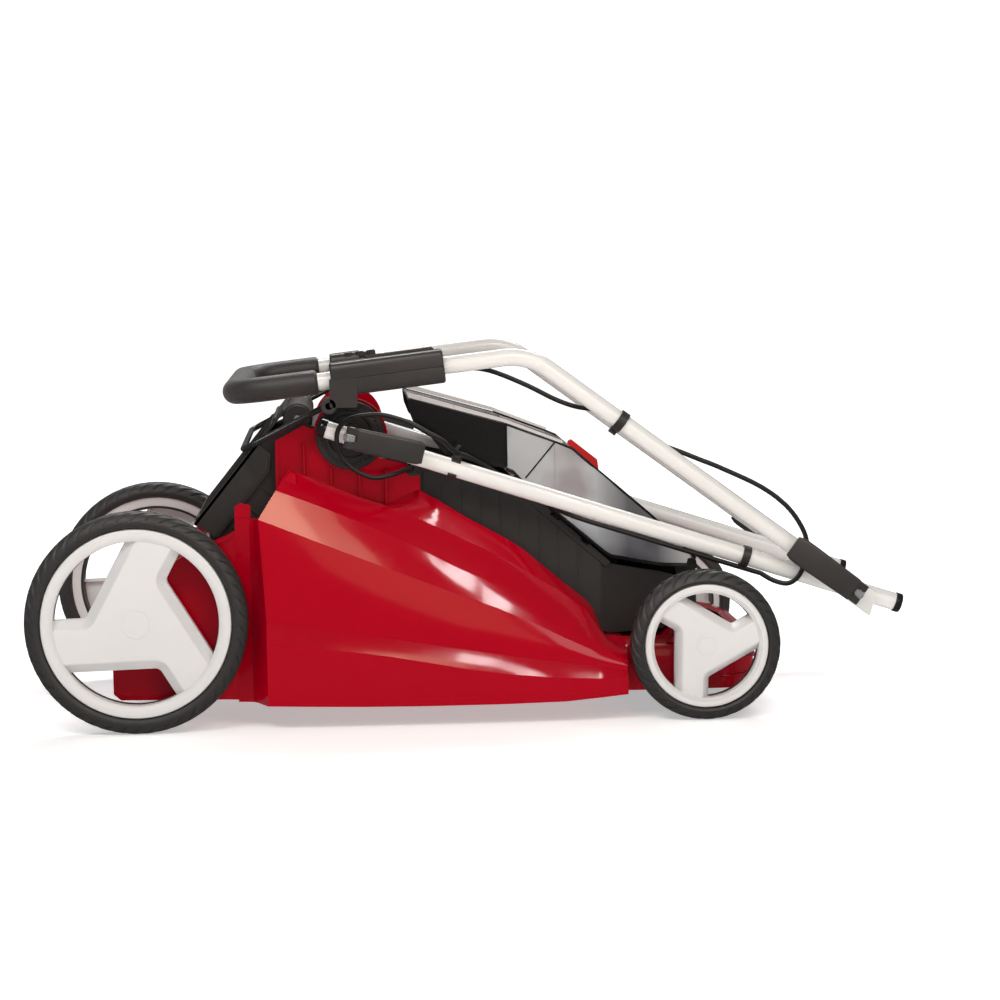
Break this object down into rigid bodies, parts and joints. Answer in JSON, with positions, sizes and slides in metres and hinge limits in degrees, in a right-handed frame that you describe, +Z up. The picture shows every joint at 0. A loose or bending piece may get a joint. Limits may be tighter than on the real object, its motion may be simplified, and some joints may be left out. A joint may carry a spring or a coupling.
{
  "type": "push lawn mower",
  "caption": "Cordless push lawn mower folded for storage: moulded deck, large spoked rear wheels, small front wheels and a two-stage folding tube handle with start bail.",
  "frame": {"origin": "on the ground under the middle of the object", "axes": "+X forward, +Y to the mower's left, +Z up"},
  "size_m": [0.9973, 0.477, 0.4251],
  "materials": {
    "deck_red": "glossy moulded plastic",
    "black_plastic": "fine moulded grain",
    "dark_plastic": "fine moulded grain",
    "smoked_window": "smoked clear plastic",
    "silver_trim": "painted silver",
    "rim_grey": "satin light grey plastic",
    "tyre_rubber": "soft tread",
    "tube_paint": "silver grey powder coat",
    "foam": "dense closed foam",
    "steel": "zinc plated steel",
    "blade_steel": "dark coated steel",
    "cable_black": "smooth sheath",
    "board_green": "circuit board",
    "button_red": "moulded plastic",
    "key_yellow": "moulded plastic",
    "motor_steel": "motor can",
    "bail_rod": "black coated rod"
  },
  "bodies": {
    "deck": {"deck_shell": "deck_red", "handle_bracket_right": "deck_red", "handle_bracket_left": "deck_red", "pivot_drum_right": "dark_plastic", "pivot_drum_left": "dark_plastic", "discharge_chute": "dark_plastic", "motor_housing": "black_plastic", "motor": "motor_steel", "battery_tray": "dark_plastic", "control_board": "board_green", "battery_pack_right": "black_plastic", "battery_pack_left": "black_plastic", "key_socket": "dark_plastic", "safety_key": "key_yellow", "rear_axle": "steel", "front_axle": "steel", "axle_clamps": "dark_plastic", "flap_rod": "steel", "cable_gland": "dark_plastic", "housing_screws": "steel", "cable_deck_loop": "cable_black"},
    "blade_group": {"motor_shaft": "steel", "blade_carrier": "dark_plastic", "blade": "blade_steel", "blade_bolt": "steel"},
    "rear_wheel_right": {"rear_tyre_right": "tyre_rubber", "rear_rim_right": "rim_grey"},
    "rear_wheel_left": {"rear_tyre_left": "tyre_rubber", "rear_rim_left": "rim_grey"},
    "front_wheel_right": {"front_tyre_right": "tyre_rubber", "front_rim_right": "rim_grey"},
    "front_wheel_left": {"front_tyre_left": "tyre_rubber", "front_rim_left": "rim_grey"},
    "flap": {"rear_flap": "black_plastic"},
    "battery_cover": {"cover_frame": "black_plastic", "cover_window": "smoked_window", "cover_trim": "silver_trim"},
    "lower_handle_right": {"lower_tube_right": "tube_paint", "tube_caps_right": "dark_plastic", "lower_cable_clips": "dark_plastic", "lower_bolt_right": "steel", "cable_lower_run": "cable_black"},
    "lower_handle_left": {"lower_tube_left": "tube_paint", "tube_caps_left": "dark_plastic", "lower_bolt_left": "steel"},
    "lower_lever_right": {"lower_lever_right": "black_plastic"},
    "lower_lever_left": {"lower_lever_left": "black_plastic"},
    "upper_handle": {"upper_handle_tube": "tube_paint", "foam_grip": "foam", "switch_housing_top": "black_plastic", "switch_housing_bottom": "black_plastic", "bail_bracket_left": "black_plastic", "upper_bolts": "steel", "upper_cable_clip": "dark_plastic", "cable_joint_loop": "cable_black", "cable_upper_run": "cable_black"},
    "upper_lever_right": {"upper_lever_right": "black_plastic"},
    "upper_lever_left": {"upper_lever_left": "black_plastic"},
    "bail": {"start_bail": "bail_rod"},
    "safety_button": {"safety_button": "button_red"}
  },
  "joints": [
    {"name": "rear_wheel_right_spin", "type": "hinge", "parent": "deck", "child": "rear_wheel_right", "pos_m": [-0.37352, -0.209, 0.125], "axis": [0, 1, 0], "continuous": true},
    {"name": "rear_wheel_left_spin", "type": "hinge", "parent": "deck", "child": "rear_wheel_left", "pos_m": [-0.37352, 0.209, 0.125], "axis": [0, 1, 0], "continuous": true},
    {"name": "front_wheel_right_spin", "type": "hinge", "parent": "deck", "child": "front_wheel_right", "pos_m": [0.26648, -0.209, 0.085], "axis": [0, 1, 0], "continuous": true},
    {"name": "front_wheel_left_spin", "type": "hinge", "parent": "deck", "child": "front_wheel_left", "pos_m": [0.26648, 0.209, 0.085], "axis": [0, 1, 0], "continuous": true},
    {"name": "blade_spin", "type": "hinge", "parent": "deck", "child": "blade_group", "pos_m": [-0.03352, 0, 0.085], "axis": [0, 0, 1], "continuous": true},
    {"name": "flap_lift", "type": "hinge", "parent": "deck", "child": "flap", "pos_m": [-0.18952, 0, 0.346], "axis": [0, 1, 0], "range_deg": [0, 4], "stiffness_Nm_per_rad": 0.6, "springref_deg": -17.19},
    {"name": "battery_cover_open", "type": "hinge", "parent": "deck", "child": "battery_cover", "pos_m": [0.26048, 0, 0.152], "axis": [0, 1, 0], "range_deg": [0, 60]},
    {"name": "lower_handle_right_fold", "type": "hinge", "parent": "deck", "child": "lower_handle_right", "pos_m": [-0.13002, -0.184, 0.327], "axis": [0, -1, 0], "range_deg": [0, 153]},
    {"name": "lower_handle_left_fold", "type": "hinge", "parent": "deck", "child": "lower_handle_left", "pos_m": [-0.13002, 0.184, 0.327], "axis": [0, -1, 0], "range_deg": [0, 153]},
    {"name": "upper_handle_fold", "type": "hinge", "parent": "lower_handle_right", "child": "upper_handle", "pos_m": [0.43839, -0.184, 0.14122], "axis": [0, 1, 0], "range_deg": [0, 158.5]},
    {"name": "lower_lever_right_open", "type": "hinge", "parent": "lower_handle_right", "child": "lower_lever_right", "pos_m": [-0.13002, -0.2115, 0.327], "axis": [-0.2334, 0, -0.9724], "range_deg": [0, 105]},
    {"name": "lower_lever_left_open", "type": "hinge", "parent": "lower_handle_left", "child": "lower_lever_left", "pos_m": [-0.13002, 0.2115, 0.327], "axis": [0.2334, 0, 0.9724], "range_deg": [0, 105]},
    {"name": "upper_lever_right_open", "type": "hinge", "parent": "upper_handle", "child": "upper_lever_right", "pos_m": [0.43839, -0.229, 0.14122], "axis": [0.599, 0, 0.8007], "range_deg": [0, 105]},
    {"name": "upper_lever_left_open", "type": "hinge", "parent": "upper_handle", "child": "upper_lever_left", "pos_m": [0.43839, 0.229, 0.14122], "axis": [-0.599, 0, -0.8007], "range_deg": [0, 105]},
    {"name": "bail_pull", "type": "hinge", "parent": "upper_handle", "child": "bail", "pos_m": [-0.15352, 0, 0.364], "axis": [0, 1, 0], "range_deg": [0, 23], "stiffness_Nm_per_rad": 1, "springref_deg": -20.05},
    {"name": "safety_button_press", "type": "slide", "parent": "upper_handle", "child": "safety_button", "axis": [0, -1, 0], "range_m": [0, 0.003], "stiffness_N_per_m": 600, "springref_m": -0.001}
  ],
  "couplings": [
    {"joint": "lower_handle_left_fold", "follows": "lower_handle_right_fold", "ratio": 1},
    {"joint": "upper_handle_fold", "follows": "lower_handle_right_fold", "ratio": 1.0327}
  ]
}
